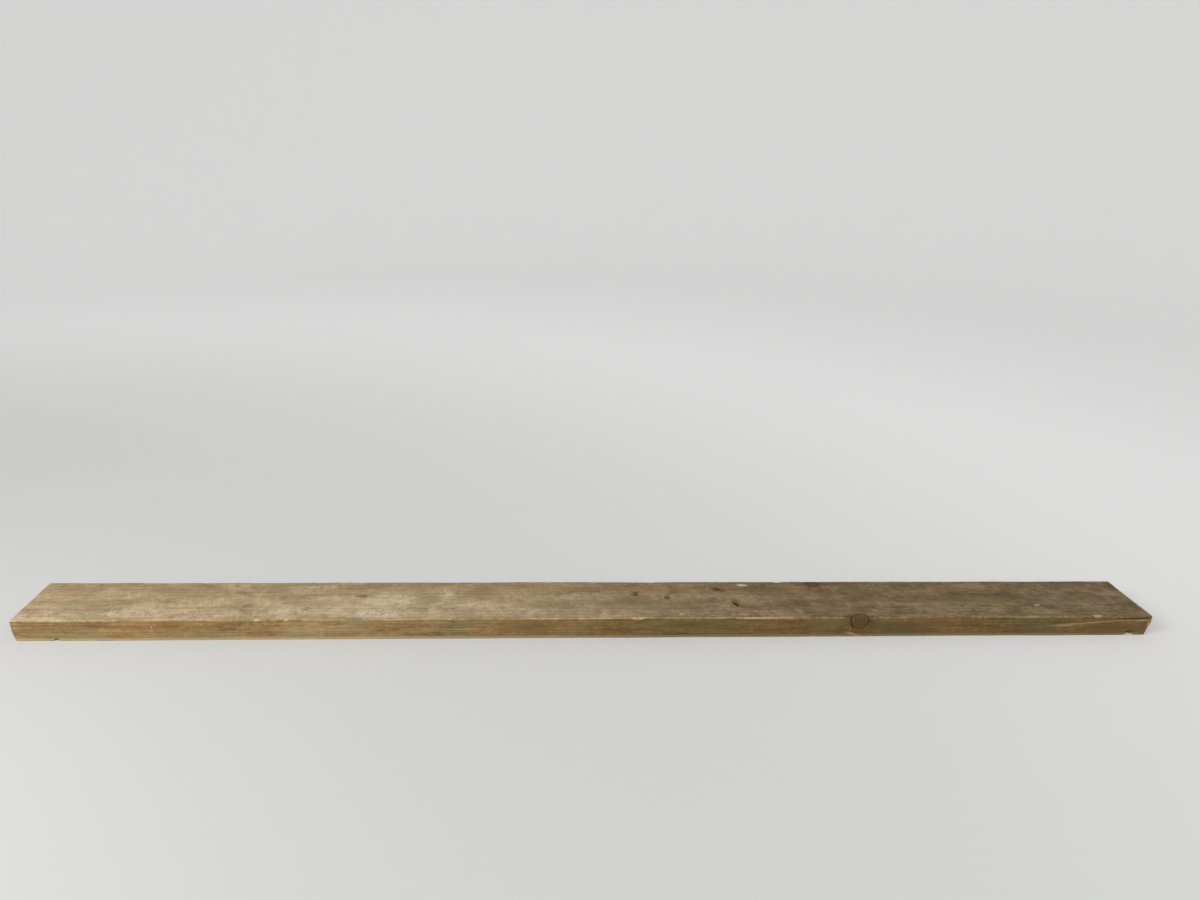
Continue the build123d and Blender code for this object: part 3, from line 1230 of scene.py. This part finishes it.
    def end(self, p: Patterns) -> Wire:
        """The end grain: rings as arcs, with rays and fine checks that run out from the pith.

        Args:
            p: The wood's patterns.

        Returns:
            The colour.
        """
        s = p.s
        turn = s.work("ARCTAN2", p.y - p.rings.pith_y, p.z - p.rings.pith_z)
        spread = s.join(turn * 60.0, p.radius * 0.03, 0.0)
        rays = s.noise(spread, (1.0, 1.0, 1.0), detail=4.0, roughness=0.7, seed=41.0)
        checks = s.bell((s.noise(spread, (4.2, 0.9, 1.0), detail=1.0, seed=42.0) - 0.5) * 64.0)
        where = s.smooth(s.noise(spread, (5.0, 0.6, 1.0), detail=1.0, seed=43.0), 0.46, 0.6)
        tone = p.lean(blotch=1.1, mottle=0.9, speck=0.9) + (rays - 0.5) * 0.9
        wood = s.shade(tone, self.edge_dark, self.edge_mid, self.edge_light)
        wood = s.tinted(s.tinted(wood, p.late * 0.85, self.late_tint), 0.8, self.end_tint)
        return s.mix(checks * where * 0.55, wood, self.crack)

    def build(self, stock: Stock, rings: Rings) -> bpy.types.Material:
        """Makes the material.

        Args:
            stock: The plank's sawn size.
            rings: The growth rings that the plank's relief follows too.

        Returns:
            The material.
        """
        material = bpy.data.materials.new("weathered_pine")
        material.use_nodes = True
        material.node_tree.nodes.clear()
        s = Sheet(material.node_tree)
        nx, _, nz = s.split(s.made("ShaderNodeTexCoord", output="Normal"))
        on_broad = s.smooth(s.size(nz), 0.5, 0.85)
        on_end = s.smooth(s.size(nx), 0.6, 0.85)
        rubbed, torn, sunk = (s.made("ShaderNodeAttribute", output="Fac", attribute_name=name)
                              for name in ("rubbed", "torn", "sunk"))
        p = Patterns.read(s, rings)

        wood = s.mix(on_broad, self.edge(p), self.top(p))
        wood = s.mix(on_end, wood, self.end(p))
        wood = s.tinted(wood, s.smooth(nz, -0.5, -0.85), self.under_tint)
        wood = s.mix(p.hairline * (1.0 - on_end) * s.mix(on_broad, 0.5, 0.38), wood, self.crack)
        flat = s.join(p.x, p.y + s.sign(p.y) * (stock.thickness - p.z), 0.0)
        on_marked = s.smooth(nz, -0.92, -0.7) * (1.0 - on_end)
        dirt_and_shade = s.smooth(p.x, self.clean_to, self.dirty_from)
        for tone, mask in self.stains(p, flat).items():
            colour = srgb(*tone.value)
            # the chalk marks darken towards the right end too, with dirt and painted shade
            if tone is Tone.CHALK:
                colour = s.tinted(colour, dirt_and_shade, self.top_dirt)
            wood = s.mix(mask * on_marked, wood, colour)
        for knot in KNOTS:
            wood = self.knotted(p, wood, knot)
            rubbed = rubbed * s.smooth(knot.distance(s, p.place, rings), 0.9, 1.4)

        broken = s.smooth(p.streak + p.lean(speck=0.9, mottle=0.6), 0.46, 0.66)
        below = s.smooth(p.z, stock.thickness * 0.5, stock.thickness * 0.25)
        wood = s.mix(rubbed * s.mix(below, broken * 0.34, broken * 0.3 + 0.6), wood, self.cream)
        splintered = s.smooth(p.fibre + p.lean(speck=0.4), 0.56, 0.38)
        bare = s.tinted(s.mix(splintered * 0.55, self.fresh, self.edge_mid), p.late * 0.7, self.late_tint)
        wood = s.mix(torn * 0.8, wood, bare)
        wood = s.mix(sunk, wood, self.crack)

        height = p.late * 0.4 + p.lean(fibre=1.3, speck=0.7) + p.lean(saw=0.5) * on_broad - p.hairline * 0.8
        bump = s.made("ShaderNodeBump", {"Strength": 0.6, "Distance": 0.5 * MM, "Height": height})
        rough = s.span(p.mottle, 0.3, 0.7, self.roughness - 0.08, self.roughness + 0.1)
        shader = s.made("ShaderNodeBsdfPrincipled", {
            "Base Color": wood, "Roughness": rough, "Normal": bump, "Specular IOR Level": 0.3})
        s.node("ShaderNodeOutputMaterial", {"Surface": shader})
        return material

    def knotted(self, p: Patterns, wood: Wire, knot: Knot) -> Wire:
        """Colours one knot: its rings, its dark bark and the stained wood round it.

        Args:
            p: The wood's patterns.
            wood: The colour so far.
            knot: The knot.

        Returns:
            The colour with the knot in it.
        """
        s = p.s
        along, across = knot.parts(s, p.place + p.drift * min(4.0, knot.half_width * 0.3), p.rings)
        share = s.reach(along, across) + p.lean(mottle=0.07)
        stained = s.smooth(share + p.lean(mottle=1.0), 2.4, 0.8)
        wood = s.tinted(wood, stained * knot.halo, self.knot_stain)
        turns = s.work("SINE", share * (knot.half_width * 1.5)) * 0.5 + 0.5
        heart = s.mix(turns * 0.6 + p.lean(mottle=2.2, speck=0.8) + 0.1, self.knot_dark, self.knot_light)
        patchy = s.span(p.mottle + p.lean(speck=0.4), 0.4, 0.6, 0.4, 1.1)
        wood = s.mix(s.smooth(share, 1.1, 0.6) * patchy * knot.fill, wood, heart)
        uneven = s.span(p.mottle + p.lean(speck=0.3), 0.42, 0.56, 0.15, 1.3)
        line = s.bell((share - 1.0) * (knot.half_width * 0.85)) * uneven * knot.rim
        angle = s.work("ARCTAN2", across, along)
        wave = s.work("SINE", angle * 3.0 + knot.x) + s.work("SINE", angle * 2.0 + knot.x * 1.7) * 0.7
        star = s.bell(wave * 6.0) * s.smooth(share, 0.95, 0.5) * knot.star
        return s.mix(s.most(line, star), wood, self.bark)


@dataclass(frozen=True)
class PalePaint:
    """Plain matt paint for the studio's floor, paler far from the main lamp, where less light falls.

    The lifts are what the floor and the far wall gain for the camera alone, so they light nothing.
    """

    near: Colour = srgb(204, 204, 201)
    far: Colour = srgb(246, 246, 245)
    middle: Triple = (-1750.0, -1250.0, 0.0)
    start: float = 1200.0
    end: float = 4300.0
    near_lift: float = 0.05
    far_lift: float = 0.24

    def build(self) -> bpy.types.Material:
        """Makes the material.

        Returns:
            The material.
        """
        material = bpy.data.materials.new("pale_paint")
        material.use_nodes = True
        s = Sheet(material.node_tree)
        x, y, _ = s.split(s.made("ShaderNodeTexCoord", output="Object") * (1 / MM) - self.middle)
        distance = s.smooth(s.reach(x, y), self.start, self.end)
        shader = material.node_tree.nodes["Principled BSDF"]
        s.feed(shader.inputs["Base Color"], s.mix(distance, self.near, self.far))
        for name, value in (("Roughness", 0.9), ("Specular IOR Level", 0.1), ("Emission Color", self.far)):
            shader.inputs[name].default_value = value
        path = s.node("ShaderNodeLightPath")
        camera, glossy, transmission = (s.out(path, f"Is {kind} Ray")
                                        for kind in ("Camera", "Glossy", "Transmission"))
        seen = s.most(camera, s.most(glossy, transmission))
        s.feed(shader.inputs["Emission Strength"], seen * s.mix(distance, self.near_lift, self.far_lift))
        return material


# The studio


@dataclass(frozen=True)
class Lamp:
    """A soft square lamp: where it hangs, where it points, its size in millimetres and its power in watts."""

    name: str
    place: Triple
    target: Triple
    size: float
    power: float

    def build(self) -> None:
        """Hangs the lamp."""
        light = bpy.data.lights.new(self.name, "AREA")
        light.shape = "SQUARE"
        light.size = self.size * MM
        light.energy = self.power
        lamp = placed(self.name, light)
        lamp.location = Vector(self.place) * MM
        lamp.rotation_euler = (Vector(self.target) - Vector(self.place)).to_track_quat("-Z", "Y").to_euler()


@dataclass(frozen=True)
class Viewpoint:
    """Where the camera stands and how it is turned in degrees, its lens and the width of its sensor."""

    place: Triple = (-96.7, -1492.6, 934.6)
    pitch: float = 20.647
    roll: float = -1.59
    yaw: float = 3.387
    lens: float = 25.155
    sensor: float = 36.0

    def build(self) -> None:
        """Makes the camera and gives it to the scene."""
        pitch, roll, yaw = (math.radians(a) for a in (self.pitch, self.roll, self.yaw))
        level = Vector((math.cos(yaw), -math.sin(yaw), 0.0))
        ahead = Vector((math.sin(yaw), math.cos(yaw), 0.0))
        forward = ahead * math.cos(pitch) - Vector((0.0, 0.0, math.sin(pitch)))
        down = level.cross(forward) * -1.0
        right = level * math.cos(roll) + down * math.sin(roll)
        down = down * math.cos(roll) - level * math.sin(roll)
        turn = Matrix((right, -down, -forward)).transposed()
        data = bpy.data.cameras.new("viewpoint")
        data.lens = self.lens
        data.sensor_width = self.sensor
        camera = placed("viewpoint", data)
        camera.matrix_world = Matrix.Translation(Vector(self.place) * MM) @ turn.to_4x4()
        bpy.context.scene.camera = camera


@dataclass(frozen=True)
class Studio:
    """A round pale floor that curves up into a wall all about it, soft lamps and the camera."""

    radius: float = 4400.0
    cove: float = 2200.0
    wall: float = 3600.0
    ambient: float = 0.43
    cove_steps: int = 16
    sides: int = 96
    lamps: tuple[Lamp, ...] = (
        Lamp("window", (-2000.0, -1300.0, 1900.0), (-500.0, 0.0, 0.0), 1400.0, 48.0),
        Lamp("fill", (300.0, -2600.0, 2600.0), (200.0, 0.0, 0.0), 2600.0, 22.0),
    )
    viewpoint: Viewpoint = field(default_factory=Viewpoint)

    def floor(self) -> None:
        """Lays the floor and the wall as one sheet, which isn't part of the object."""
        sides = self.sides
        rises = [math.pi / 2 * step / self.cove_steps for step in range(self.cove_steps + 1)]
        cove = [(self.radius + self.cove * math.sin(t), self.cove * (1 - math.cos(t))) for t in rises]
        line = [(self.radius * 0.5, 0.0), *cove, (self.radius + self.cove, self.wall)]
        turns = [math.tau * side / sides for side in range(sides)]
        points = [(0.0, 0.0, 0.0)]
        for reach, height in line:
            points += [(reach * MM * math.cos(t), reach * MM * math.sin(t), height * MM) for t in turns]
        following = [(side, (side + 1) % sides) for side in range(sides)]
        faces = [(0, 1 + a, 1 + b) for a, b in following]
        for inner in range(1, 1 + sides * (len(line) - 1), sides):
            faces += [(inner + a, inner + sides + a, inner + sides + b, inner + b) for a, b in following]
        mesh = bpy.data.meshes.new("floor")
        mesh.from_pydata(points, [], faces)
        mesh.shade_smooth()
        mesh.materials.append(PalePaint().build())
        floor = placed("floor", mesh)

    def world(self) -> None:
        """Lights the scene evenly from all round."""
        world = bpy.data.worlds.new("studio")
        world.use_nodes = True
        background = world.node_tree.nodes["Background"]
        background.inputs["Color"].default_value = srgb(250, 250, 252)
        background.inputs["Strength"].default_value = self.ambient
        bpy.context.scene.world = world

    def build(self) -> None:
        """Sets up the whole studio."""
        self.floor()
        self.world()
        for lamp in self.lamps:
            lamp.build()
        self.viewpoint.build()
        bpy.context.scene.view_settings.view_transform = "Standard"


def main() -> None:
    """Builds the plank and its studio, in order."""
    logging.basicConfig(level=logging.INFO, format="%(name)s: %(message)s")
    plank = Plank()
    piece = plank.build(WeatheredPine().build(plank.stock, plank.rings))
    LOG.info("%s has %d faces", piece.name, len(piece.data.polygons))
    Studio().build()
    LOG.info("studio is set")


if __name__ == "__main__":
    main()
